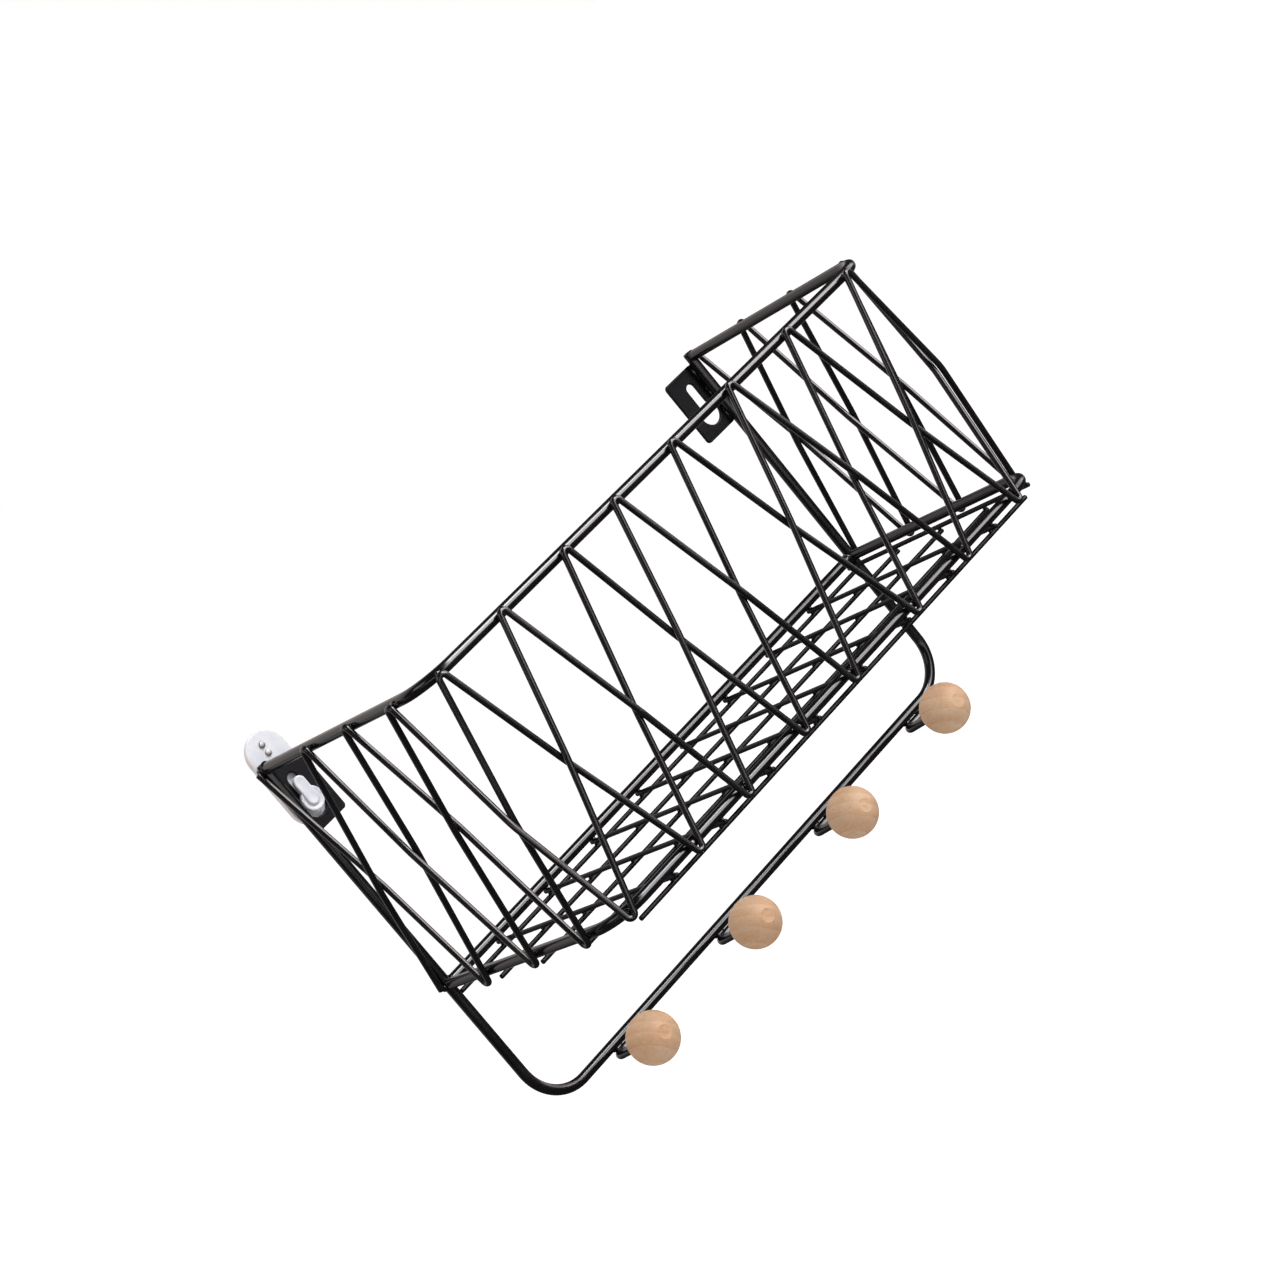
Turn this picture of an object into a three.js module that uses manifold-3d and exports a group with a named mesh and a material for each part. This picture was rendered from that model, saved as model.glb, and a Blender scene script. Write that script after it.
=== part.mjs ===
// Wall basket of black wire with a hook rail under it, hung by two keyhole plates on wall hooks.
// Millimetres, +Z up, the front of the basket towards -Y.
// The origin lies midway between the seats of the two keyholes, on the back faces of the plates.
import * as THREE from "three";
import { mergeVertices } from "three/addons/utils/BufferGeometryUtils.js";
import Module from "manifold-3d";

const wasm = await Module();
wasm.setup();

// Frame
const BASKET_WIDTH = 250; // between the axes of the two legs
const BASKET_DEPTH = 114.5; // from the leg axes to the axis of the front rods
const BASKET_HEIGHT = 97.5; // from the axis of the bottom rim to the axis of the top rim
const RAIL_DROP = 58; // from the axis of the bottom rim down to the axis of the hook rail
const ROD_DIAMETER = 4;
const RIM_CORNER_RADIUS = 14;
const RAIL_CORNER_RADIUS = 17;
const WELD_GAP = 0.25; // clearance left where one piece is welded or pressed on another

// Lattice of two crossing zigzag wires
const LATTICE_DIAMETER = 2.3;
const LATTICE_PITCH = 32.6; // along the rims, from one bend to the next
const LATTICE_BEND_RADIUS = 1.5; // of the wire axis, in the tight bends at the rims
const TOP_BEND_RISE = 1.2; // of the bends' axis above the axis of the top rim
const FOOT_BEND_DROP = 3.2; // of the bends' axis below the axis of the bottom rim
const CORNER_BULGE = 4; // how far the crossings at the basket's corners spring outwards
const CORNER_STAND_OFF = 0.9; // how much further the bends beside a corner stand off the rims
// The zigzags are bent by hand: how far each bend strays along the rim from its even place
const TOP_STRAY = [0, 4, 1, 0, -3, -5, -4, -9, -9, -8, -7, -3];
const FOOT_STRAY = [0, -4, -3.5, -0.5, -5, -4.5, -9, -8.5, -11.5, -5.5, -7, -6];

// Floor grid
const FLOOR_DIAMETER = 1.8;
const FLOOR_PITCH = 27.5;
const FLOOR_BARE_MARGIN = 20; // least bare length of the long wires at the left end
const FLOOR_FRONT_INSET = 2.5; // of the front long wire, behind the axis of the front rod

// Keyhole plates
const PLATE_WIDTH = 16.5;
const PLATE_HEIGHT = 27;
const PLATE_THICKNESS = 1.5;
const PLATE_CORNER_RADIUS = 1.5;
const PLATE_TOP_INSET = 2.2; // below the axis of the top rim
const KEYHOLE_INSET = 7.3; // of the keyhole's middle line, inward of the leg axis
const SEAT_INSET = 9.55; // of the slot's round end centre, below the axis of the top rim
const HOLE_RADIUS = 4.65;
const SLOT_WIDTH = 4.5;
const KEYHOLE_LENGTH = 11.2; // from the centre of the hole up to the centre of the slot's end

// Hooks
const HOOK_COUNT = 4;
const HOOK_PITCH = 62;
const HOOK_DIAMETER = 3.4;
const HOOK_TAIL = 14; // of the tail that is welded along the rail
const HOOK_BEND_RADIUS = 5;
const BALL_DIAMETER = 19.2;
const BALL_REACH = 28.5; // of the ball's centre in front of the rail axis
const BALL_LIFT = 3; // of the ball's centre above the tail
const BORE_DEPTH = 10;
const DIMPLE_RADIUS = 1.5;
const DIMPLE_DEPTH = 0.6;

// Wall hook in the left keyhole
const PAD_WIDTH = 16.7;
const PAD_TOP = 20.4; // above the keyhole seat
const PAD_BOTTOM = -17.5;
const PAD_THICKNESS = 2.2;
const NECK_DIAMETER = 3.8;
const NECK_DROP = 9.3; // of the neck, below the keyhole seat, where the rack rests
const HEAD_RADIUS = 4.5;
const HEAD_THICKNESS = 2.1;
const LIP_WIDTH = 4.9;
const LIP_TOP = 0.2; // above the keyhole seat
const PIN_DIAMETER = 1.3;
const PIN_HEAD_DIAMETER = 2.4;
const PIN_HEAD_THICKNESS = 0.5;
const PIN_LENGTH = 12;
const PIN_PLACES = [15.6, 12.1]; // above the keyhole seat

const ROD_SIDES = 12;
const WIRE_SIDES = 8;
const BEND_STEPS = 8;
const TIGHT_BEND_STEPS = 6;
const ROUND_SEGMENTS = 24;

const rodRadius = ROD_DIAMETER / 2;
const latticeRadius = LATTICE_DIAMETER / 2;
const floorRadius = FLOOR_DIAMETER / 2;
const hookRadius = HOOK_DIAMETER / 2;
const ballRadius = BALL_DIAMETER / 2;
const legX = BASKET_WIDTH / 2;
const legY = -(PLATE_THICKNESS + WELD_GAP + rodRadius);
const frontY = legY - BASKET_DEPTH;
const topZ = SEAT_INSET;
const footZ = topZ - BASKET_HEIGHT;
const railZ = footZ - RAIL_DROP;
const keyholeX = legX - KEYHOLE_INSET;

const blackPaint = () => new THREE.MeshStandardMaterial({ color: 0x16171a, roughness: 0.25, metalness: 0.1 });
const beech = () => new THREE.MeshStandardMaterial({ color: 0xdcb68c, roughness: 0.6, metalness: 0 });
const milkyPlastic = () => new THREE.MeshStandardMaterial({ color: 0xe8ecef, roughness: 0.35, metalness: 0 });
const darkSteel = () => new THREE.MeshStandardMaterial({ color: 0x55565a, roughness: 0.4, metalness: 1 });

const vec = (x, y, z) => new THREE.Vector3(x, y, z);
const organizer = new THREE.Group();

function add(name, geometry, material) {
  const mesh = new THREE.Mesh(geometry, material);
  mesh.name = name;
  organizer.add(mesh);
  return mesh;
}

// A path that has its rings only where they are needed: at the two ends and through each bend
class WirePath extends THREE.Curve {
  constructor(rings) {
    super();
    this.rings = rings;
  }

  ring(u) {
    return this.rings[Math.round(u * (this.rings.length - 1))];
  }

  getPoint(u) {
    return this.ring(u).point.clone();
  }

  getPointAt(u) {
    return this.ring(u).point.clone();
  }

  getTangentAt(u) {
    return this.ring(u).tangent.clone();
  }
}

// Rings of a wire bent at each corner to the corner's radius; a corner without a radius is a plain kink
function bentRings(corners, steps) {
  const rings = [];
  corners.forEach((corner, i) => {
    const into = i > 0 ? corner.at.clone().sub(corners[i - 1].at).normalize() : null;
    const away = i < corners.length - 1 ? corners[i + 1].at.clone().sub(corner.at).normalize() : null;
    if (!into || !away || !corner.bend) {
      const tangent = vec(0, 0, 0).add(into ?? away).add(away ?? into).normalize();
      rings.push({ point: corner.at, tangent });
      return;
    }
    const turn = into.angleTo(away);
    const hinge = into.clone().cross(away).normalize();
    const inward = hinge.clone().cross(into);
    const start = corner.at.clone().addScaledVector(into, -corner.bend * Math.tan(turn / 2));
    const centre = start.clone().addScaledVector(inward, corner.bend);
    for (let k = 0; k <= steps; k++) {
      const angle = (turn * k) / steps;
      const spoke = inward.clone().negate().applyAxisAngle(hinge, angle);
      const point = centre.clone().addScaledVector(spoke, corner.bend);
      rings.push({ point, tangent: into.clone().applyAxisAngle(hinge, angle) });
    }
  });
  return rings;
}

function wire(corners, radius, sides, steps = BEND_STEPS) {
  const rings = bentRings(corners, steps);
  const around = [...Array(sides).keys()].map((k) => (2 * Math.PI * (k + 0.5)) / sides);
  const section = new THREE.Shape(
    around.map((angle) => new THREE.Vector2(radius * Math.cos(angle), radius * Math.sin(angle))),
  );
  return new THREE.ExtrudeGeometry(section, { steps: rings.length - 1, extrudePath: new WirePath(rings) });
}

// Back frame, rims and the bar at the foot of the back
function frame() {
  const legTop = topZ + rodRadius;
  const rimEndY = legY - rodRadius - WELD_GAP;
  const barEndX = legX - rodRadius - WELD_GAP;
  const legsAndRail = [
    { at: vec(-legX, legY, legTop) },
    { at: vec(-legX, legY, railZ), bend: RAIL_CORNER_RADIUS },
    { at: vec(legX, legY, railZ), bend: RAIL_CORNER_RADIUS },
    { at: vec(legX, legY, legTop) },
  ];
  const rim = (z) => [
    { at: vec(-legX, rimEndY, z) },
    { at: vec(-legX, frontY, z), bend: RIM_CORNER_RADIUS },
    { at: vec(legX, frontY, z), bend: RIM_CORNER_RADIUS },
    { at: vec(legX, rimEndY, z) },
  ];
  const bar = [{ at: vec(-barEndX, legY, footZ) }, { at: vec(barEndX, legY, footZ) }];
  add("back_frame", wire(legsAndRail, rodRadius, ROD_SIDES), blackPaint());
  add("top_rim", wire(rim(topZ), rodRadius, ROD_SIDES), blackPaint());
  add("bottom_rim", wire(rim(footZ), rodRadius, ROD_SIDES), blackPaint());
  add("bottom_back_bar", wire(bar, rodRadius, ROD_SIDES), blackPaint());
}

const sideRun = BASKET_DEPTH - RIM_CORNER_RADIUS;
const cornerRun = (Math.PI / 2) * RIM_CORNER_RADIUS;
const frontRun = BASKET_WIDTH - 2 * RIM_CORNER_RADIUS;
const rimLength = 2 * (sideRun + cornerRun) + frontRun;

// Point and outward direction on the rims' axis, a distance along it from the left leg
function rimPoint(distance) {
  const mirrored = distance > rimLength / 2;
  const run = mirrored ? rimLength - distance : distance;
  const angle = THREE.MathUtils.clamp((run - sideRun) / RIM_CORNER_RADIUS, 0, Math.PI / 2);
  const alongSide = Math.min(run, sideRun);
  const alongFront = Math.max(run - sideRun - cornerRun, 0);
  const x = -legX + RIM_CORNER_RADIUS * (1 - Math.cos(angle)) + alongFront;
  const y = legY - alongSide - RIM_CORNER_RADIUS * Math.sin(angle);
  const side = mirrored ? -1 : 1;
  return { point: vec(side * x, y, 0), outward: vec(-side * Math.cos(angle), -Math.sin(angle), 0) };
}

const sideCells = Math.floor(sideRun / LATTICE_PITCH);
const frontCells = Math.round(frontRun / LATTICE_PITCH);

// Even places of the bends: from each leg forwards, and from the middle of the front outwards
function latticeColumns() {
  const side = [...Array(sideCells + 1).keys()].map((k) => k * LATTICE_PITCH);
  const fromMiddle = [...Array(frontCells + 1).keys()].map((k) => (k - frontCells / 2) * LATTICE_PITCH);
  const front = fromMiddle.map((offset) => rimLength / 2 + offset);
  return [...side, ...front, ...side.map((distance) => rimLength - distance).reverse()];
}

// Where two straight spans pass each other: the point midway between them and the way out of the basket
function crossing(spanA, spanB) {
  const alongA = spanA[1].clone().sub(spanA[0]);
  const alongB = spanB[1].clone().sub(spanB[0]);
  const apart = spanA[0].clone().sub(spanB[0]);
  const [aa, ab, bb] = [alongA.dot(alongA), alongA.dot(alongB), alongB.dot(alongB)];
  const [da, db] = [alongA.dot(apart), alongB.dot(apart)];
  const spread = aa * bb - ab * ab;
  const onA = spanA[0].clone().addScaledVector(alongA, (ab * db - bb * da) / spread);
  const onB = spanB[0].clone().addScaledVector(alongB, (aa * db - ab * da) / spread);
  const level = vec(alongA.x, alongA.y, 0).normalize();
  return { middle: onA.add(onB).multiplyScalar(0.5), outward: vec(level.y, -level.x, 0) };
}

function lattice() {
  const columns = latticeColumns();
  const last = columns.length - 1;
  const standOff = rodRadius + WELD_GAP + latticeRadius;
  const passing = latticeRadius + WELD_GAP / 2;
  const halfAngle = Math.atan(LATTICE_PITCH / (BASKET_HEIGHT + TOP_BEND_RISE + FOOT_BEND_DROP));
  const overshoot = LATTICE_BEND_RADIUS * (1 / Math.sin(halfAngle) - 1);
  const cornerCells = [sideCells, last - sideCells - 1];
  const besideCorner = (column) => cornerCells.some((cell) => column === cell || column === cell + 1);

  // The corner of the zigzag before it is rounded; at the legs the wire is cut off level with the rim.
  // It stands off the rim so far that the wire, which leans in to its crossing, still clears the rim.
  const node = (column, atTop) => {
    const stray = (atTop ? TOP_STRAY : FOOT_STRAY)[column] ?? 0;
    const { point, outward } = rimPoint(columns[column] + stray);
    const isEnd = column === 0 || column === last;
    const beyondRim = isEnd ? 0 : overshoot + (atTop ? TOP_BEND_RISE : FOOT_BEND_DROP);
    const leanIn = (passing * beyondRim) / (BASKET_HEIGHT / 2);
    const cornerStandOff = besideCorner(column) ? CORNER_STAND_OFF : 0;
    const z = atTop ? topZ + beyondRim : footZ - beyondRim;
    return point.addScaledVector(outward, standOff + leanIn + cornerStandOff).setZ(z);
  };
  const isTop = (column, startsAtTop) => (column % 2 === 0) === startsAtTop;
  const span = (cell, startsAtTop) => [0, 1].map((k) => node(cell + k, isTop(cell + k, startsAtTop)));

  const zigzag = (startsAtTop, crossingSide) => {
    const corners = [];
    for (let column = 0; column <= last; column++) {
      const isEnd = column === 0 || column === last;
      corners.push({ at: node(column, isTop(column, startsAtTop)), bend: isEnd ? 0 : LATTICE_BEND_RADIUS });
      if (column === last) break;
      const { middle, outward } = crossing(span(column, true), span(column, false));
      const bulge = cornerCells.includes(column) ? CORNER_BULGE : 0;
      const push = crossingSide * passing + bulge;
      corners.push({ at: middle.addScaledVector(outward, push) });
    }
    return wire(corners, latticeRadius, WIRE_SIDES, TIGHT_BEND_STEPS);
  };
  add("lattice_wire_a", zigzag(true, -1), blackPaint());
  add("lattice_wire_b", zigzag(false, 1), blackPaint());
}

// How far the rims' rounded corner draws in from one straight side, a distance inside of the other side
function cornerDrawIn(inside) {
  const shortOfArc = Math.max(RIM_CORNER_RADIUS - inside, 0);
  return RIM_CORNER_RADIUS - Math.sqrt(RIM_CORNER_RADIUS ** 2 - shortOfArc ** 2);
}

// Floor grid: the cross wires hang under the front rod and the back bar, the long wires under the cross wires
function floor() {
  const crossZ = footZ - rodRadius - WELD_GAP - floorRadius;
  const longZ = crossZ - FLOOR_DIAMETER - WELD_GAP;
  const innerX = legX - rodRadius - WELD_GAP;
  const lastCrossX = innerX - floorRadius;
  const crossCount = Math.floor((lastCrossX + innerX - FLOOR_BARE_MARGIN) / FLOOR_PITCH) + 1;
  const longSpan = BASKET_DEPTH - FLOOR_FRONT_INSET;
  const longCount = Math.round(longSpan / FLOOR_PITCH) + 1;
  for (let k = 0; k < crossCount; k++) {
    const x = lastCrossX - (crossCount - 1 - k) * FLOOR_PITCH;
    const endY = frontY - rodRadius + cornerDrawIn(legX - Math.abs(x));
    const corners = [{ at: vec(x, legY + rodRadius, crossZ) }, { at: vec(x, endY, crossZ) }];
    add(`floor_cross_wire_${k + 1}`, wire(corners, floorRadius, WIRE_SIDES), blackPaint());
  }
  for (let k = 0; k < longCount; k++) {
    const y = legY - (k * longSpan) / (longCount - 1);
    const endX = innerX - cornerDrawIn(y - frontY);
    const corners = [{ at: vec(-endX, y, longZ) }, { at: vec(endX, y, longZ) }];
    add(`floor_long_wire_${k + 1}`, wire(corners, floorRadius, WIRE_SIDES), blackPaint());
  }
}

// A round with an upright bar on top, round-ended: the outline of the keyhole and of the hook's head
function keyholeOutline(path, centreX, roundZ, roundRadius, barTopZ, barWidth) {
  const half = barWidth / 2;
  const join = Math.asin(half / roundRadius);
  path.absarc(centreX, roundZ, roundRadius, Math.PI / 2 - join, Math.PI / 2 + join, true);
  path.absarc(centreX, barTopZ - half, half, Math.PI, 0, true);
  path.closePath();
  return path;
}

// Extrudes an outline drawn in X and Z from the plane at backY towards the front
function plateGeometry(shape, backY, thickness, curveSegments = ROUND_SEGMENTS / 2) {
  const geometry = new THREE.ExtrudeGeometry(shape, { depth: thickness, bevelEnabled: false, curveSegments });
  geometry.rotateX(Math.PI / 2);
  geometry.translate(0, backY, 0);
  return geometry;
}

function roundedRectangle(left, bottom, width, height, radius) {
  const [right, top] = [left + width, bottom + height];
  const shape = new THREE.Shape();
  shape.absarc(right - radius, top - radius, radius, 0, Math.PI / 2);
  shape.absarc(left + radius, top - radius, radius, Math.PI / 2, Math.PI);
  shape.absarc(left + radius, bottom + radius, radius, Math.PI, 1.5 * Math.PI);
  shape.absarc(right - radius, bottom + radius, radius, 1.5 * Math.PI, 2 * Math.PI);
  shape.closePath();
  return shape;
}

function keyholePlates() {
  const top = topZ - PLATE_TOP_INSET;
  for (const [name, side] of [["bracket_left", -1], ["bracket_right", 1]]) {
    const left = side < 0 ? -legX : legX - PLATE_WIDTH;
    const shape = roundedRectangle(left, top - PLATE_HEIGHT, PLATE_WIDTH, PLATE_HEIGHT, PLATE_CORNER_RADIUS);
    const hole = new THREE.Path();
    keyholeOutline(hole, side * keyholeX, -KEYHOLE_LENGTH, HOLE_RADIUS, SLOT_WIDTH / 2, SLOT_WIDTH);
    shape.holes.push(hole);
    add(name, plateGeometry(shape, 0, PLATE_THICKNESS), blackPaint());
  }
}

// Hook wires with their tails along the underside of the rail, and the wooden balls pushed on them
function hooks() {
  const tailZ = railZ - rodRadius - WELD_GAP - hookRadius;
  const boreRadius = hookRadius + WELD_GAP;
  const forward = vec(0, -BALL_REACH, BALL_LIFT).normalize();
  for (let k = 0; k < HOOK_COUNT; k++) {
    const x = (k - (HOOK_COUNT - 1) / 2) * HOOK_PITCH;
    const centre = vec(x, legY - BALL_REACH, tailZ + BALL_LIFT);
    const wireEnd = centre.clone().addScaledVector(forward, BORE_DEPTH - WELD_GAP - ballRadius);
    const corners = [
      { at: vec(x + HOOK_TAIL, legY, tailZ) },
      { at: vec(x, legY, tailZ), bend: HOOK_BEND_RADIUS },
      { at: wireEnd },
    ];
    add(`hook_wire_${k + 1}`, wire(corners, hookRadius, ROD_SIDES), blackPaint());

    // Turned ball: from the dimple at the front pole round to the mouth of the bore and down to its end
    const fromPole = Math.asin(DIMPLE_RADIUS / ballRadius);
    const toBore = Math.PI - Math.asin(boreRadius / ballRadius);
    const arcSteps = ROUND_SEGMENTS / 2;
    const profile = [[0, ballRadius * Math.cos(fromPole) - DIMPLE_DEPTH]];
    for (let i = 0; i <= arcSteps; i++) {
      const angle = fromPole + ((toBore - fromPole) * i) / arcSteps;
      profile.push([ballRadius * Math.sin(angle), ballRadius * Math.cos(angle)]);
    }
    profile.push([boreRadius, BORE_DEPTH - ballRadius], [0, BORE_DEPTH - ballRadius]);
    const turned = profile.reverse().map(([radius, along]) => new THREE.Vector2(radius, along));
    const ball = add(`hook_ball_${k + 1}`, new THREE.LatheGeometry(turned, ROUND_SEGMENTS), beech());
    ball.quaternion.setFromUnitVectors(vec(0, 1, 0), forward);
    ball.position.copy(centre);
  }
}

function toManifold(geometry) {
  const bare = geometry.clone();
  bare.deleteAttribute("normal");
  bare.deleteAttribute("uv");
  const merged = mergeVertices(bare, 1e-4);
  return new wasm.Manifold(new wasm.Mesh({
    numProp: 3,
    vertProperties: new Float32Array(merged.attributes.position.array),
    triVerts: new Uint32Array(merged.index.array),
  }));
}

function toGeometry(manifold) {
  const mesh = manifold.getMesh();
  const geometry = new THREE.BufferGeometry();
  geometry.setAttribute("position", new THREE.BufferAttribute(new Float32Array(mesh.vertProperties), 3));
  geometry.setIndex(new THREE.BufferAttribute(new Uint32Array(mesh.triVerts), 1));
  geometry.computeVertexNormals();
  return geometry;
}

// Cylinder along Y from the plane at backY towards the front
function roundBar(x, z, radius, backY, length, segments = ROUND_SEGMENTS) {
  const geometry = new THREE.CylinderGeometry(radius, radius, length, segments);
  geometry.translate(x, backY - length / 2, z);
  return geometry;
}

// Plastic wall hook: a pad behind the plate, a neck through the keyhole and a head with an upright lip
function wallHook() {
  const x = -keyholeX;
  const padFrontY = WELD_GAP;
  const headBackY = -PLATE_THICKNESS - WELD_GAP;
  const padRound = PAD_WIDTH / 2 - 0.01;
  const pad = roundedRectangle(x - PAD_WIDTH / 2, PAD_BOTTOM, PAD_WIDTH, PAD_TOP - PAD_BOTTOM, padRound);
  for (const z of PIN_PLACES) {
    pad.holes.push(new THREE.Path().absarc(x, z, PIN_DIAMETER / 2 + WELD_GAP, 0, 2 * Math.PI, true));
  }
  const head = keyholeOutline(new THREE.Shape(), x, -NECK_DROP, HEAD_RADIUS, LIP_TOP, LIP_WIDTH);
  const neckBackY = padFrontY + PAD_THICKNESS / 2;
  const neckLength = neckBackY - headBackY + HEAD_THICKNESS / 2;
  const solid = toManifold(plateGeometry(pad, padFrontY + PAD_THICKNESS, PAD_THICKNESS))
    .add(toManifold(plateGeometry(head, headBackY, HEAD_THICKNESS)))
    .add(toManifold(roundBar(x, -NECK_DROP, NECK_DIAMETER / 2, neckBackY, neckLength)));
  add("wall_hook", toGeometry(solid), milkyPlastic());

  PIN_PLACES.forEach((z, k) => {
    const profile = [
      [0, 0],
      [PIN_HEAD_DIAMETER / 2, 0],
      [PIN_HEAD_DIAMETER / 2, PIN_HEAD_THICKNESS],
      [PIN_DIAMETER / 2, PIN_HEAD_THICKNESS],
      [PIN_DIAMETER / 2, PIN_LENGTH - PIN_DIAMETER],
      [0, PIN_LENGTH],
    ].map(([radius, along]) => new THREE.Vector2(radius, along));
    const pin = add(`wall_pin_${k + 1}`, new THREE.LatheGeometry(profile, WIRE_SIDES), darkSteel());
    pin.position.set(x, -PIN_HEAD_THICKNESS, z);
  });
}

frame();
lattice();
floor();
keyholePlates();
hooks();
wallHook();

export default organizer;
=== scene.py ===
"""Looks of the black wire wall basket with its rail of wooden ball hooks.

Shapes are worked out in millimetres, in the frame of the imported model; a mesh is put into metres.
The origin lies midway between the seats of the two keyholes; the front of the basket is towards -Y.
"""

import bpy
import numpy as np
from mathutils import Matrix


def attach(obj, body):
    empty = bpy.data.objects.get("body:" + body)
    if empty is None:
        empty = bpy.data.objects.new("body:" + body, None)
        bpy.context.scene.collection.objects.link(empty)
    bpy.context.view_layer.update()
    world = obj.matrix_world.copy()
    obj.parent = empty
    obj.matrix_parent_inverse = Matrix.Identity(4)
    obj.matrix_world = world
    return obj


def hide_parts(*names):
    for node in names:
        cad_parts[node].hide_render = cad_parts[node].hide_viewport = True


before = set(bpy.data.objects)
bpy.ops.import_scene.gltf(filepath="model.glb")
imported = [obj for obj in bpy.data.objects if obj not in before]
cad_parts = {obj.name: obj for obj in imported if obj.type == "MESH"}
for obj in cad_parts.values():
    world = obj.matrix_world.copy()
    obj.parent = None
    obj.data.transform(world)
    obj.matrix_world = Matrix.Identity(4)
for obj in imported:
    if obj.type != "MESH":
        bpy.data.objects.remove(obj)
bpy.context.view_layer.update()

MM = 0.001
SHARP_ANGLE = np.radians(50)

# Frame
BASKET_WIDTH = 250
BASKET_DEPTH = 114.5
BASKET_HEIGHT = 97.5
RAIL_DROP = 58
ROD_RADIUS = 2
RIM_CORNER_RADIUS = 14
RAIL_CORNER_RADIUS = 17
WELD_GAP = 0.25
THIN_WIRE_CHAMFER = 0.2

# Lattice: each bend strays along the rim from its even place, counted from the left leg
LATTICE_RADIUS = 1.15
LATTICE_PITCH = 32.6
LATTICE_BEND_RADIUS = 1.5
KINK_RADIUS = 30
TOP_BEND_RISE = 1.2
FOOT_BEND_DROP = 3.2
CORNER_BULGE = 4
CORNER_STAND_OFF = 0.9
TOP_STRAY = [0, 4, 1, 0, -3, -5, -4, -9, -9, -8, -7, -3]
FOOT_STRAY = [0, -4, -3.5, -0.5, -5, -4.5, -9, -8.5, -11.5, -5.5, -7, -6]

# Floor grid
FLOOR_RADIUS = 0.9
FLOOR_PITCH = 27.5
CROSS_WIRES = 9
LONG_WIRES = 5
FLOOR_FRONT_INSET = 2.5

# Keyhole plates
PLATE_WIDTH = 16.5
PLATE_HEIGHT = 27
PLATE_THICKNESS = 1.5
PLATE_CORNER_RADIUS = 1.5
PLATE_CORNER_POINTS = 12
PLATE_TOP_INSET = 2.2
PLATE_EDGE_SOFTNESS = 0.22
PLATE_EDGE_MARGIN = 0.3
PLATE_BEARINGS = 360
DENSE_OUTLINE_POINTS = 4000
KEYHOLE_INSET = 7.3
SEAT_INSET = 9.55
HOLE_RADIUS = 4.65
SLOT_WIDTH = 4.5
KEYHOLE_LENGTH = 11.2

# Hooks: the facet's rings are pairs of radius and rise over the cut through the ball
HOOKS = 4
HOOK_PITCH = 62
HOOK_RADIUS = 1.7
HOOK_TAIL = 14
HOOK_BEND_RADIUS = 5
BALL_RADIUS = 9.6
BALL_REACH = 28.5
BALL_LIFT = 3
BALL_RINGS = 44
BORE_DEPTH = 10
BORE_CHAMFER = 0.4
BORE_TIP_RADIUS = 0.4
FACET_RADIUS = 2.9
FACET_EDGE = [(2.75, 0.05), (2.55, 0.08), (2.35, 0.035), (2.1, -0.03), (1.6, -0.02), (1.15, -0.01)]
FACET_PIP = [(0.95, -0.03), (0.8, 0.0), (0.6, 0.06), (0.3, 0.08)]

# Weld beads: radii along X, Y and Z; a lattice bead has its thickness in place of the outward one
LATTICE_BEAD = np.array([1.9, 1.9, 1.3])
LATTICE_BEAD_THICKNESS = 0.75
LATTICE_BEAD_STAND_OFF = 0.2
FLOOR_END_BEAD = (1.0, 1.2, 0.6)
FLOOR_CROSSING_BEAD = (0.85, 0.85, 0.5)
HOOK_BEAD = (2.4, 1.3, 0.8)
HOOK_BEAD_INSET = 3
RIM_END_BEAD = (2.25, 1.1, 2.2)
FOOT_BAR_BEAD = (1.1, 2.2, 2.2)
PLATE_BEAD = (0.8, 0.6, 3.2)
PLATE_BEAD_INSET = 1.5
PLATE_BEAD_STAND_OFF = 0.3
PLATE_BEAD_PLACES = [-16, -6, 4]
BEAD_RIPPLE = 0.1
BEAD_SIZE_SPREAD = 0.12
BEAD_POLE_ANGLE = 0.25

# Wall hook: the head's rings are pairs of inset from its radius and rise from its back
PAD_WIDTH = 16.7
PAD_TOP = 20.4
PAD_BOTTOM = -17.5
PAD_THICKNESS = 2.2
PAD_EDGE = 0.5
NECK_RADIUS = 1.9
NECK_DROP = 9.3
NECK_OVERLAP = 1
HEAD_RADIUS = 4.5
HEAD_THICKNESS = 2.1
HEAD_SIDE = [(4.2, 0), (0.5, 0), (0.1, 0.15), (0, 0.5), (0, 1.2), (0.15, 1.55), (0.5, 1.7)]
HEAD_FACE = [(1.0, 1.55), (1.5, 1.25), (2.0, 1.3), (2.4, 1.6), (2.9, 1.7), (3.5, 1.5), (4.2, 1.75)]
LIP_WIDTH = 4.9
LIP_TOP = 0.2
LIP_TAIL = 2.2
LIP_EDGE = 0.55
LIP_DISH = 0.15
RIM_FLAT = 0.2
DISH_SLOPE = 0.6
EDGE_RINGS = 7
PIN_RADIUS = 0.65
PIN_TIP_RADIUS = 0.08
PIN_HEAD_RADIUS = 1.2
PIN_HEAD_THICKNESS = 0.5
PIN_HEAD_UPRIGHT = 0.35
PIN_DOME_TURN = 1.4
PIN_DOME_RINGS = 7
PIN_LENGTH = 12
PIN_PLACES = [15.6, 12.1]

# Studio, in metres
SEEN_BY = ("Is Camera Ray", "Is Glossy Ray", "Is Transmission Ray")
WHITE = (1, 1, 1)
WARM = (1, 0.91, 0.87)
COOL = (0.9, 0.95, 1)
FLOOR_GLOW = 0.66
FLOOR_REACH = 20
FLOOR_HEIGHT = -0.55
OBJECT_MIDDLE = np.array([0, -0.06, -0.07])

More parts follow.
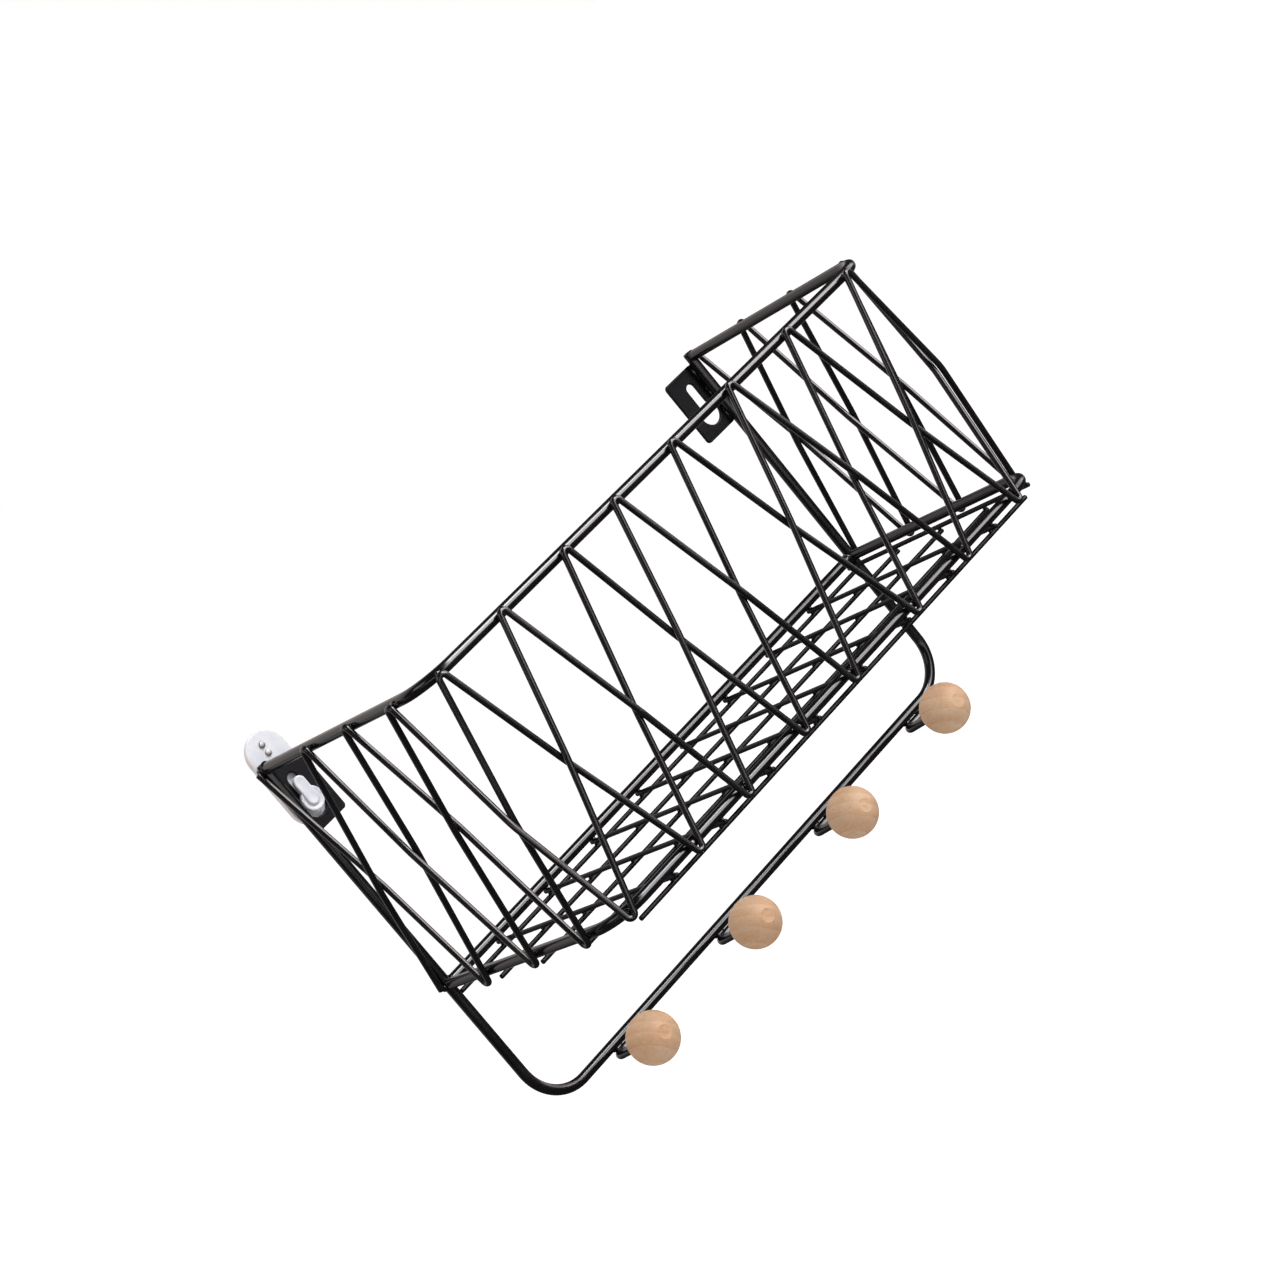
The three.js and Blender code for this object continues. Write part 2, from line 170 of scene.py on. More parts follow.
# Planes and lines of the frame
LEG_X = BASKET_WIDTH / 2
LEG_Y = -(PLATE_THICKNESS + WELD_GAP + ROD_RADIUS)
FRONT_Y = LEG_Y - BASKET_DEPTH
TOP_Z = SEAT_INSET
FOOT_Z = TOP_Z - BASKET_HEIGHT
RAIL_Z = FOOT_Z - RAIL_DROP
TAIL_Z = RAIL_Z - ROD_RADIUS - WELD_GAP - HOOK_RADIUS
CROSS_Z = FOOT_Z - ROD_RADIUS - WELD_GAP - FLOOR_RADIUS
LONG_Z = CROSS_Z - 2 * FLOOR_RADIUS - WELD_GAP
INNER_X = LEG_X - ROD_RADIUS - WELD_GAP
KEYHOLE_X = LEG_X - KEYHOLE_INSET
PASSING = LATTICE_RADIUS + WELD_GAP / 2

# Columns: places of the lattice's bends along the rims' axis, from the left leg to the right one
SIDE_RUN = BASKET_DEPTH - RIM_CORNER_RADIUS
CORNER_RUN = np.pi / 2 * RIM_CORNER_RADIUS
FRONT_RUN = BASKET_WIDTH - 2 * RIM_CORNER_RADIUS
RIM_LENGTH = 2 * (SIDE_RUN + CORNER_RUN) + FRONT_RUN
SIDE_CELLS = int(SIDE_RUN // LATTICE_PITCH)
FRONT_CELLS = round(FRONT_RUN / LATTICE_PITCH)
SIDE_COLUMNS = [k * LATTICE_PITCH for k in range(SIDE_CELLS + 1)]
FRONT_COLUMNS = [RIM_LENGTH / 2 + (k - FRONT_CELLS / 2) * LATTICE_PITCH for k in range(FRONT_CELLS + 1)]
COLUMNS = SIDE_COLUMNS + FRONT_COLUMNS + [RIM_LENGTH - run for run in reversed(SIDE_COLUMNS)]
LAST_COLUMN = len(COLUMNS) - 1
CORNER_CELLS = (SIDE_CELLS, LAST_COLUMN - SIDE_CELLS - 1)

# Places of the pieces that repeat
CROSS_PLACES = [INNER_X - FLOOR_RADIUS - (CROSS_WIRES - 1 - k) * FLOOR_PITCH for k in range(CROSS_WIRES)]
LONG_PLACES = [LEG_Y - k * (BASKET_DEPTH - FLOOR_FRONT_INSET) / (LONG_WIRES - 1) for k in range(LONG_WIRES)]
HOOK_PLACES = [(k - (HOOKS - 1) / 2) * HOOK_PITCH for k in range(HOOKS)]


def unit(vector):
    vector = np.array(vector, float)
    return vector / np.linalg.norm(vector)


class Signal:
    """An output socket of a node. Arithmetic on it adds Math nodes."""

    def __init__(self, nodes, socket):
        self.nodes = nodes
        self.socket = socket

    def math(self, operation, *values):
        return self.nodes.node("ShaderNodeMath", {"operation": operation}, dict(enumerate(values)))

    def __add__(self, other):
        return self.math("ADD", self, other)

    def __radd__(self, other):
        return self.math("ADD", other, self)

    def __sub__(self, other):
        return self.math("SUBTRACT", self, other)

    def __rsub__(self, other):
        return self.math("SUBTRACT", other, self)

    def __mul__(self, other):
        return self.math("MULTIPLY", self, other)

    def __rmul__(self, other):
        return self.math("MULTIPLY", other, self)

    def between(self, low, high):
        """0 on low's side, 1 on high's side and a smooth step in between."""
        settings = {"interpolation_type": "SMOOTHSTEP"}
        return self.nodes.node("ShaderNodeMapRange", settings, {"Value": self, 1: low, 2: high})


class Nodes:
    """Nodes written one by one into a tree."""

    def __init__(self, tree):
        self.tree = tree

    def node(self, kind, settings=None, inputs=None, output=0):
        """Adds a node, its settings first and then the values or links of its sockets."""
        made = self.tree.nodes.new(kind)
        for setting, value in (settings or {}).items():
            if setting == "stops":
                ramp = made.color_ramp
                for place, _ in value[2:]:
                    ramp.elements.new(place)
                for element, (place, colour) in zip(ramp.elements, value):
                    element.position = place
                    element.color = (*colour, 1)
            else:
                setattr(made, setting, value)
        for socket, value in (inputs or {}).items():
            self.feed(made.inputs[socket], value)
        return Signal(self, made.outputs[output])

    def feed(self, socket, value):
        if isinstance(value, Signal):
            self.tree.links.new(value.socket, socket)
        elif isinstance(value, tuple) and len(value) == 3 and len(socket.default_value) == 4:
            socket.default_value = (*value, 1)
        else:
            socket.default_value = value

    def place(self, turn=(0, 0, 0), stretch=(1, 1, 1)):
        """Object coordinates, turned and then stretched."""
        here = self.node("ShaderNodeTexCoord", output="Object")
        return self.node("ShaderNodeMapping", None, {"Vector": here, "Rotation": turn, "Scale": stretch})

    def component(self, vector, axis):
        return self.node("ShaderNodeSeparateXYZ", None, {0: vector}, output=axis)

    def noise(self, place, scale, detail=2, roughness=0.5):
        values = {"Vector": place, "Scale": scale, "Detail": detail, "Roughness": roughness}
        return self.node("ShaderNodeTexNoise", None, values)

    def mix(self, low, high, amount):
        """Colour that goes from low to high as amount goes from 0 to 1."""
        return self.node("ShaderNodeMix", {"data_type": "RGBA"}, {0: amount, 6: low, 7: high}, output=2)

    def bump(self, height, strength, distance):
        values = {"Height": height, "Strength": strength, "Distance": distance}
        return self.node("ShaderNodeBump", None, values)

    def seen_by(self):
        """1 for a camera ray, a glossy ray and a transmitted ray, each else 0."""
        return [self.node("ShaderNodeLightPath", output=ray) for ray in SEEN_BY]

    def toward(self, direction):
        """Dot product of a direction and the way that a ray takes into the surroundings."""
        ray = self.node("ShaderNodeTexCoord", output="Generated")
        settings = {"operation": "DOT_PRODUCT"}
        return self.node("ShaderNodeVectorMath", settings, {0: ray, 1: tuple(unit(direction))}, "Value")


class Finish(Nodes):
    """A material written on its Principled shader."""

    def __init__(self, name):
        self.material = bpy.data.materials.new(name)
        self.material.use_nodes = True
        super().__init__(self.material.node_tree)
        self.shader = self.tree.nodes["Principled BSDF"]

    def shade(self, **values):
        for socket, value in values.items():
            self.feed(self.shader.inputs[socket.replace("_", " ")], value)
        return self.material


def black_enamel(name, roughness=0.17, shine=0.5):
    """Glossy black paint over wire: a faint orange peel, and patches and specks of dust that dull it."""
    finish = Finish(name)
    place = finish.place()
    peel = finish.noise(place, 420)
    patches = finish.noise(place, 55, 3).between(0.42, 0.72)
    dust = finish.noise(place, 1900, 1).between(0.7, 0.8) * patches
    colour = finish.mix((0.004, 0.004, 0.0055), (0.0075, 0.0075, 0.0095), patches)
    return finish.shade(
        Base_Color=finish.mix(colour, (0.04, 0.04, 0.042), dust * 0.05),
        Roughness=roughness + patches * 0.05,
        IOR=1.5,
        Specular_IOR_Level=shine,
        Normal=finish.bump(peel, 0.04, 0.00004),
    )


def turned_beech(name):
    """Fine sanded beech: growth rings cut along the grain, soft streaks and short dark flecks."""
    finish = Finish(name)
    lean = float(np.arctan2(BALL_LIFT, BALL_REACH))
    along = finish.place(turn=(lean, 0, 0), stretch=(1, 0.1, 1))
    wobble = finish.noise(along, 120)
    rings = finish.node(
        "ShaderNodeTexWave",
        {"wave_type": "BANDS", "bands_direction": "DIAGONAL", "wave_profile": "SAW"},
        {"Vector": along, "Scale": 110, "Distortion": 1.6, "Detail": 2, "Detail Scale": 1.0},
        output="Fac",
    )
    streaks = finish.noise(along, 1300, 3, 0.6)
    short = finish.place(turn=(lean, 0, 0), stretch=(1, 0.2, 0.7))
    flecks = finish.noise(short, 2100, 1).between(0.63, 0.71)
    tone = rings * 0.14 + wobble * 0.5 + streaks * 0.36
    stops = [(0.27, (0.55, 0.30, 0.155)), (0.51, (0.67, 0.42, 0.25)), (0.75, (0.735, 0.545, 0.375))]
    wood = finish.node("ShaderNodeValToRGB", {"stops": stops}, {"Fac": tone})
    return finish.shade(
        Base_Color=finish.mix(wood, (0.45, 0.25, 0.14), flecks * 0.4),
        Roughness=0.5 + streaks * 0.12,
        Specular_IOR_Level=0.5,
        Normal=finish.bump(streaks - flecks * 0.4, 0.15, 0.00008),
    )


def milky_plastic(name):
    """Milky moulded plastic, waxy inside: faintly cloudy, marked by handling, with a beige painted shade on
    the left edge.
    """
    finish = Finish(name)
    place = finish.place()
    cloud = finish.noise(place, 210, 3)
    marks = finish.noise(finish.place(stretch=(1, 1, 0.15)), 1900).between(0.6, 0.75)
    milk = finish.mix((0.76, 0.77, 0.82), (0.84, 0.85, 0.88), cloud.between(0.3, 0.7))
    # Painted shade: the pad's left edge faces away from the key lamp and is tinted beige in its base colour.
    edge = finish.component(place, "X").between(-0.1225, -0.1275)
    return finish.shade(
        Base_Color=finish.mix(milk, (0.80, 0.72, 0.66), edge * 0.6),
        Roughness=0.38 + cloud * 0.1 + marks * 0.12,
        Subsurface_Weight=0.35,
        Subsurface_Radius=(0.002, 0.002, 0.0022),
        Normal=finish.bump(cloud + marks * 0.1, 0.06, 0.0001),
    )


def dark_steel(name):
    """Blued steel of the wall pins, spotted and a little dull."""
    finish = Finish(name)
    spots = finish.noise(finish.place(), 1700, 3)
    return finish.shade(
        Base_Color=finish.mix((0.17, 0.17, 0.18), (0.28, 0.27, 0.26), spots.between(0.35, 0.7)),
        Metallic=1.0,
        Roughness=0.42 + spots * 0.2,
        Normal=finish.bump(spots, 0.2, 0.00005),
    )


def grid_faces(rows, columns, wrap_rows=False):
    """Quads of a grid of points that closes round its columns, and round its rows if they wrap."""
    i, j = np.meshgrid(np.arange(rows if wrap_rows else rows - 1), np.arange(columns), indexing="ij")
    near, far = i * columns, (i + 1) % rows * columns
    after = (j + 1) % columns
    quads = np.stack([near + j, near + after, far + after, far + j], axis=-1)
    return quads.reshape(-1, 4).tolist()


def closed_grid(points):
    """Vertices and faces of rows of rings, the first and the last ring shut by a fan to its own middle."""
    rows, columns, _ = points.shape
    middles = points[[0, -1]].mean(axis=1)
    vertices = np.concatenate([points.reshape(-1, 3), middles])
    j = np.arange(columns)
    after = (j + 1) % columns
    first = rows * columns
    last_ring = (rows - 1) * columns
    near_fan = np.stack([np.full(columns, first), after, j], axis=-1)
    far_fan = np.stack([np.full(columns, first + 1), last_ring + j, last_ring + after], axis=-1)
    return vertices, grid_faces(rows, columns) + near_fan.tolist() + far_fan.tolist()


def joined(parts):
    """Several closed shapes as one list of vertices and one of faces."""
    vertices, faces, start = [], [], 0
    for part_vertices, part_faces in parts:
        vertices.append(part_vertices)
        faces += [[start + index for index in face] for face in part_faces]
        start += len(part_vertices)
    return np.concatenate(vertices), faces


def piece(name, shape, material, body, nodes=()):
    """Makes a mesh object of a shape, in metres, riding on a body and standing for the CAD nodes."""
    vertices, faces = shape
    mesh = bpy.data.meshes.new(name)
    mesh.from_pydata((vertices * MM).tolist(), [], faces)
    mesh.shade_smooth()
    mesh.set_sharp_from_angle(angle=SHARP_ANGLE)
    mesh.materials.append(material)
    made = bpy.data.objects.new(name, mesh)
    bpy.context.scene.collection.objects.link(made)
    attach(made, body)
    if nodes:
        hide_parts(*nodes)


def painted(node, ending, shape, paint):
    """A black piece of the rack that stands for one CAD node and is named after it."""
    piece(f"{node}_{ending}", shape, paint, "rack", [node])


def turned_about(axis, vector, angle):
    """A vector at right angles to an axis, turned about it: cosine x vector plus sine x (axis x vector)."""
    return np.cos(angle)[:, None] * vector + np.sin(angle)[:, None] * np.cross(axis, vector)


def bent_path(corners, steps):
    """Axis of a wire through its corners, each rounded to its bend radius; returns points and directions.

    The arc starts radius x tan(turn / 2) ahead of the corner. Its points are the arc's middle less the
    inward direction turned about the hinge, times the radius. Steps are counted for a quarter turn.
    """
    places = [np.array(corner[:3], float) for corner in corners]
    spans = [unit(after - before) for before, after in zip(places[:-1], places[1:])]
    points, directions = [], []
    for corner, place, into, away in zip(corners, places, spans[:1] + spans, spans + spans[-1:]):
        bend = corner[3] if len(corner) > 3 else 0
        if not bend:
            points.append(place[None])
            directions.append(unit(into + away)[None])
            continue
        turn = np.arccos(np.clip(into @ away, -1, 1))
        hinge = unit(np.cross(into, away))
        inward = np.cross(hinge, into)
        middle = place - into * bend * np.tan(turn / 2) + inward * bend
        angle = np.linspace(0, turn, max(3, int(np.ceil(steps * turn / (np.pi / 2)))) + 1)
        points.append(middle + turned_about(hinge, -inward, angle) * bend)
        directions.append(turned_about(hinge, into, angle))
    return np.concatenate(points), np.concatenate(directions)


def carried_frames(directions):
    """Two cross directions for each ring, carried along the path so that they never spin about it."""
    start = np.array([0, 0, 1.0]) if abs(directions[0][2]) < 0.9 else np.array([1.0, 0, 0])
    across = unit(start - directions[0] * (start @ directions[0]))
    rows = [across]
    for direction in directions[1:]:
        across = unit(across - direction * (across @ direction))
        rows.append(across)
    first = np.array(rows)
    return first, np.cross(directions, first)


def braced(points, directions, reach=0.7):
    """Adds a ring a little inside each end of every long straight, so that it is shaded evenly all along."""
    places, ways = [points[0]], [directions[0]]
    for start, end, way in zip(points[:-1], points[1:], directions[1:]):
        run = np.linalg.norm(end - start)
        if run > 4 * reach:
            straight = (end - start) / run
            places += [start + straight * reach, end - straight * reach]
            ways += [straight, straight]
        places.append(end)
        ways.append(way)
    return np.array(places), np.array(ways)


def wire(corners, radius, sides=20, steps=16, chamfer=0.3):
    """Round wire along a bent path: each ring is radius x (cosine across + sine up), its ends chamfered."""
    points, directions = braced(*bent_path(corners, steps))
    ends = [points[0], points[0] + directions[0] * chamfer]
    tails = [points[-1] - directions[-1] * chamfer, points[-1]]
    points = np.concatenate([ends, points[1:-1], tails])
    directions = np.concatenate([directions[:1], directions, directions[-1:]])
    radii = np.full(len(points), float(radius))
    radii[[0, -1]] -= chamfer
    across, up = carried_frames(directions)
    angle = np.linspace(0, 2 * np.pi, sides, endpoint=False)[None, :, None]
    ring = np.cos(angle) * across[:, None] + np.sin(angle) * up[:, None]
    return closed_grid(points[:, None] + ring * radii[:, None, None])


def rim_corners(z):
    end_y = LEG_Y - ROD_RADIUS - WELD_GAP
    return [
        (-LEG_X, end_y, z),
        (-LEG_X, FRONT_Y, z, RIM_CORNER_RADIUS),
        (LEG_X, FRONT_Y, z, RIM_CORNER_RADIUS),
        (LEG_X, end_y, z),
    ]


def rim_point(distance):
    """Point and outward direction on the rims' axis, a distance along it from the left leg."""
    mirrored = distance > RIM_LENGTH / 2
    run = RIM_LENGTH - distance if mirrored else distance
    angle = np.clip((run - SIDE_RUN) / RIM_CORNER_RADIUS, 0, np.pi / 2)
    x = -LEG_X + RIM_CORNER_RADIUS * (1 - np.cos(angle)) + max(run - SIDE_RUN - CORNER_RUN, 0)
    y = LEG_Y - min(run, SIDE_RUN) - RIM_CORNER_RADIUS * np.sin(angle)
    side = -1 if mirrored else 1
    return np.array([side * x, y, 0]), np.array([-side * np.cos(angle), -np.sin(angle), 0])


def strayed_place(column, at_top):
    """Point and outward direction on the rims' axis where the lattice bends over it."""
    stray = TOP_STRAY if at_top else FOOT_STRAY
    return rim_point(COLUMNS[column] + (stray[column] if column < len(stray) else 0))


def lattice_bend(column, at_top):
    """Corner of a zigzag before it is rounded, standing off the rim so that the leaning wire clears it."""
    half_angle = np.arctan(LATTICE_PITCH / (BASKET_HEIGHT + TOP_BEND_RISE + FOOT_BEND_DROP))
    overshoot = LATTICE_BEND_RADIUS * (1 / np.sin(half_angle) - 1)
    point, outward = strayed_place(column, at_top)
    is_end = column in (0, LAST_COLUMN)
    beyond = 0 if is_end else overshoot + (TOP_BEND_RISE if at_top else FOOT_BEND_DROP)
    lean = PASSING * beyond / (BASKET_HEIGHT / 2)
    corner = CORNER_STAND_OFF if any(column in (cell, cell + 1) for cell in CORNER_CELLS) else 0
    point = point + outward * (ROD_RADIUS + WELD_GAP + LATTICE_RADIUS + lean + corner)
    point[2] = TOP_Z + beyond if at_top else FOOT_Z - beyond
    return point


def crossing(a, b):
    """Midpoint of the shortest line between two straight spans, and the level way out of the basket."""
    along_a, along_b, apart = a[1] - a[0], b[1] - b[0], a[0] - b[0]
    aa, ab, bb = along_a @ along_a, along_a @ along_b, along_b @ along_b
    da, db = along_a @ apart, along_b @ apart
    spread = aa * bb - ab * ab
    on_a = a[0] + along_a * (ab * db - bb * da) / spread
    on_b = b[0] + along_b * (aa * db - ab * da) / spread
    level = unit([along_a[0], along_a[1], 0])
    return (on_a + on_b) / 2, np.array([level[1], -level[0], 0])


def zigzag(starts_at_top, side):
    """Corners of one lattice wire: up and down from rim to rim, passing the other wire on its own side."""
    def at_top(column, from_top):
        return (column % 2 == 0) == from_top

    def span(cell, from_top):
        return [lattice_bend(column, at_top(column, from_top)) for column in (cell, cell + 1)]

    corners = []
    for column in range(LAST_COLUMN + 1):
        bend = 0 if column in (0, LAST_COLUMN) else LATTICE_BEND_RADIUS
        corners.append((*lattice_bend(column, at_top(column, starts_at_top)), bend))
        if column < LAST_COLUMN:
            middle, outward = crossing(span(column, True), span(column, False))
            push = side * PASSING + (CORNER_BULGE if column in CORNER_CELLS else 0)
            corners.append((*(middle + outward * push), KINK_RADIUS))
    return corners


def drawn_in(inside):
    """How far the rims' round corner draws in from one straight side, a distance inside of the other."""
    short = max(RIM_CORNER_RADIUS - inside, 0)
    return RIM_CORNER_RADIUS - np.sqrt(RIM_CORNER_RADIUS**2 - short**2)


def weld_bead(place, radii, seed):
    """Small uneven blob: an ellipsoid with three waves round it and one down it, its size varied too."""
    around = np.linspace(0, 2 * np.pi, 12, endpoint=False)[None, :]
    down = np.linspace(BEAD_POLE_ANGLE, np.pi - BEAD_POLE_ANGLE, 7)[:, None]
    ripple = 1 + BEAD_RIPPLE * np.sin(3 * around + seed * 1.7) * np.sin(2 * down + seed)
    level = np.sin(down)
    ball = np.stack([level * np.cos(around), level * np.sin(around), np.cos(down) + 0 * around], -1)
    size = np.array(radii) * (1 + BEAD_SIZE_SPREAD * np.sin(seed * 2.3))
    points = np.array(place) + ball * ripple[..., None] * size
    return closed_grid(points[:, ::-1])


def weld_places():
    """Middle and radii of every weld bead."""
    beads = []
    for column in range(LAST_COLUMN + 1):
        for at_top in (True, False):
            point, outward = strayed_place(column, at_top)
            point = point + outward * (ROD_RADIUS + LATTICE_BEAD_STAND_OFF)
            point[2] = TOP_Z if at_top else FOOT_Z
            out = np.abs(outward)
            beads.append((point, out * LATTICE_BEAD_THICKNESS + (1 - out) * LATTICE_BEAD))
    for x in CROSS_PLACES:
        corner = drawn_in(LEG_X - abs(x))
        for y in (FRONT_Y + corner, LEG_Y):
            beads.append(((x, y, CROSS_Z + FLOOR_RADIUS + WELD_GAP / 2), FLOOR_END_BEAD))
        for y in LONG_PLACES:
            if y - FRONT_Y > corner:
                beads.append(((x, y, LONG_Z + FLOOR_RADIUS + WELD_GAP / 2), FLOOR_CROSSING_BEAD))
    for x in HOOK_PLACES:
        for along in (HOOK_BEAD_INSET, HOOK_TAIL - HOOK_BEAD_INSET):
            beads.append(((x + along, LEG_Y, RAIL_Z - ROD_RADIUS), HOOK_BEAD))
    for side in (-1, 1):
        for z in (TOP_Z, FOOT_Z):
            beads.append(((side * LEG_X, LEG_Y - ROD_RADIUS, z), RIM_END_BEAD))
        beads.append(((side * (LEG_X - ROD_RADIUS), LEG_Y, FOOT_Z), FOOT_BAR_BEAD))
        for z in PLATE_BEAD_PLACES:
            x, y = side * (LEG_X - PLATE_BEAD_INSET), -PLATE_THICKNESS - PLATE_BEAD_STAND_OFF
            beads.append(((x, y, z), PLATE_BEAD))
    return beads


def lathe(profile, middle, forward, segments=64):
    """Profile of (radius, along) turned about the forward axis through a middle point."""
    axis = unit(forward)
    across, up = carried_frames(axis[None])
    angle = np.linspace(0, 2 * np.pi, segments, endpoint=False)[None, :, None]
    spokes = np.cos(angle) * across[:, None] + np.sin(angle) * up[:, None]
    radius, along = np.array(profile, float).T[:, :, None, None]
    return closed_grid(np.array(middle) + spokes * radius + axis * along)


def ball_profile():
    """Section of a ball from the bottom of its bore, over its back and round to the facet in front."""
    bore = HOOK_RADIUS + WELD_GAP
    bottom = BORE_DEPTH - BALL_RADIUS
    behind = np.pi - np.arcsin((bore + BORE_CHAMFER) / BALL_RADIUS)
    ahead = np.arcsin(FACET_RADIUS / BALL_RADIUS)
    profile = [(BORE_TIP_RADIUS, bottom), (bore, bottom), (bore, BORE_CHAMFER - BALL_RADIUS)]
    turns = np.linspace(behind, ahead, BALL_RINGS)
    profile += [(BALL_RADIUS * np.sin(turn), BALL_RADIUS * np.cos(turn)) for turn in turns]
    cut = BALL_RADIUS * np.cos(ahead)
    return profile + [(radius, cut + rise) for radius, rise in FACET_EDGE + FACET_PIP]


def keyhole_radius(angle):
    """Distance from the middle of the hole to the keyhole's edge, for an angle from straight up.

    The slot's wall is half its width over the sine; past the wall's top it is the slot's round end, the far
    root of a circle set KEYHOLE_LENGTH up. The hole's own radius holds wherever it is larger.
    """
    half = SLOT_WIDTH / 2
    sine, cosine = np.abs(np.sin(angle)), np.cos(angle)
    under = half**2 - (KEYHOLE_LENGTH * sine) ** 2
    tip = KEYHOLE_LENGTH * cosine + np.sqrt(np.clip(under, 0, None))
    wall = half / np.clip(sine, 1e-6, None)
    slot = np.where(wall * cosine > KEYHOLE_LENGTH, tip, wall)
    return np.where(cosine > 0, np.maximum(HOLE_RADIUS, slot), HOLE_RADIUS)


def plate_edge_radius(angle, middle_x, middle_z):
    """Distance from the middle of the hole to the plate's rounded outline, read off a dense outline."""
    r = PLATE_CORNER_RADIUS
    right, top = PLATE_WIDTH - r, PLATE_HEIGHT - r
    rim = []
    for quarter, (x, z) in enumerate([(right, top), (r, top), (r, r), (right, r)]):
        turns = np.linspace(0, np.pi / 2, PLATE_CORNER_POINTS) + quarter * np.pi / 2
        rim.append(np.stack([x + r * np.cos(turns), z + r * np.sin(turns)], -1))
    rim = np.concatenate(rim)
    dense = np.concatenate([rim, rim[:1]])
    along = np.linspace(0, len(dense) - 1, DENSE_OUTLINE_POINTS)
    x = np.interp(along, np.arange(len(dense)), dense[:, 0]) - middle_x
    z = np.interp(along, np.arange(len(dense)), dense[:, 1]) - middle_z
    bearing = np.arctan2(x, z)
    order = np.argsort(bearing)
    return np.interp(angle, bearing[order], np.hypot(x, z)[order], period=2 * np.pi)


def keyhole_plate(side):
    """Punched plate as a closed grid: the metal's section, carried round the keyhole by bearing."""
    left = -LEG_X if side < 0 else LEG_X - PLATE_WIDTH
    bottom = TOP_Z - PLATE_TOP_INSET - PLATE_HEIGHT
    hole_x, hole_z = side * KEYHOLE_X, -KEYHOLE_LENGTH
    angle = np.linspace(-np.pi, np.pi, PLATE_BEARINGS, endpoint=False)
    inner = keyhole_radius(angle)
    outer = plate_edge_radius(angle, hole_x - left, hole_z - bottom)
    soft, flat = PLATE_EDGE_SOFTNESS, PLATE_EDGE_MARGIN
    front, back = -PLATE_THICKNESS, 0
    section = [
        (inner, back - soft),
        (inner, front + soft),
        (inner + soft, front),
        (inner + flat, front),
        (outer - flat, front),
        (outer - soft, front),
        (outer, front + soft),
        (outer, back - soft),
        (outer - soft, back),
        (outer - flat, back),
        (inner + flat, back),
        (inner + soft, back),
    ]
    rows = []
    for reach, depth in section:
        x, z = hole_x + reach * np.sin(angle), hole_z + reach * np.cos(angle)
        rows.append(np.stack([x, np.full(len(angle), depth), z], -1))
    return np.concatenate(rows), grid_faces(len(rows), len(angle), wrap_rows=True)


def stadium(width, low, high, count=72):
    """Outline of an upright bar with round ends, as points and outward directions in X and Z."""
    half = width / 2
    angle = np.linspace(0, 2 * np.pi, count, endpoint=False)
    direction = np.stack([np.cos(angle), np.sin(angle)], -1)
    centre_z = np.where(np.sin(angle) >= 0, high - half, low + half)
    return direction * half + np.stack([0 * angle, centre_z], -1), direction


def slab(outline, back, front, soft, dish=0.0):
    """Plate of the wall hook: its rings draw in from the outline along a quarter circle at both edges."""
    places, outward = outline
    turns = np.linspace(0, np.pi / 2, EDGE_RINGS)
    rim = soft + RIM_FLAT
    rings = [(rim + DISH_SLOPE, back)]
    rings += [(soft * (1 - np.sin(turn)), back - soft * (1 - np.cos(turn))) for turn in turns]
    rings += [(soft * (1 - np.cos(turn)), front + soft * (1 - np.sin(turn))) for turn in turns]
    rings += [(rim, front), (rim + DISH_SLOPE, front + dish)]
    rows = []
    for draw_in, y in rings:
        flat = places - outward * draw_in
        rows.append(np.stack([flat[:, 0] - KEYHOLE_X, np.full(len(flat), y), flat[:, 1]], -1))
    return closed_grid(np.array(rows))


def wall_hook():
    """Wall hook in the left keyhole: the pad on the wall, the neck, the head and the lip that bends up."""
    pad_front, head_back = WELD_GAP, -PLATE_THICKNESS - WELD_GAP
    pad = slab(stadium(PAD_WIDTH, PAD_BOTTOM, PAD_TOP), pad_front + PAD_THICKNESS, pad_front, PAD_EDGE)
    lip_outline = stadium(LIP_WIDTH, -NECK_DROP - LIP_TAIL, LIP_TOP)
    lip = slab(lip_outline, head_back, head_back - HEAD_THICKNESS, LIP_EDGE, LIP_DISH)
    neck_profile = [(NECK_RADIUS, -pad_front - NECK_OVERLAP), (NECK_RADIUS, -head_back + NECK_OVERLAP)]
    neck = lathe(neck_profile, (-KEYHOLE_X, 0, -NECK_DROP), (0, -1, 0), segments=40)
    head_profile = [(HEAD_RADIUS - inset, rise) for inset, rise in HEAD_SIDE + HEAD_FACE]
    head = lathe(head_profile, (-KEYHOLE_X, head_back, -NECK_DROP), (0, -1, 0))
    return joined([pad, lip, neck, head])


def wall_pin(z):
    """Pin with a tapered tip and a head that stands upright for a share of its thickness, then domes."""
    shank = PIN_LENGTH - PIN_HEAD_THICKNESS
    profile = [(PIN_TIP_RADIUS, -shank), (PIN_RADIUS, 2 * PIN_RADIUS - shank), (PIN_RADIUS, 0)]
    profile.append((PIN_HEAD_RADIUS, 0))
    for turn in np.linspace(0, PIN_DOME_TURN, PIN_DOME_RINGS):
        share = PIN_HEAD_UPRIGHT + (1 - PIN_HEAD_UPRIGHT) * np.sin(turn)
        profile.append((PIN_HEAD_RADIUS * np.cos(turn), PIN_HEAD_THICKNESS * share))
    return lathe(profile, (-KEYHOLE_X, 0, z), (0, -1, 0), segments=32)


enamel = black_enamel("black_enamel")
dull_enamel = black_enamel("black_enamel_dull", roughness=0.15, shine=0.35)
wire_enamel = black_enamel("black_enamel_wire", roughness=0.23)
floor_enamel = black_enamel("black_enamel_floor", roughness=0.36, shine=0.1)
plate_enamel = black_enamel("black_enamel_plate", roughness=0.3, shine=0.12)
beech = turned_beech("turned_beech")
plastic = milky_plastic("milky_plastic_moulded")
steel = dark_steel("blued_steel")

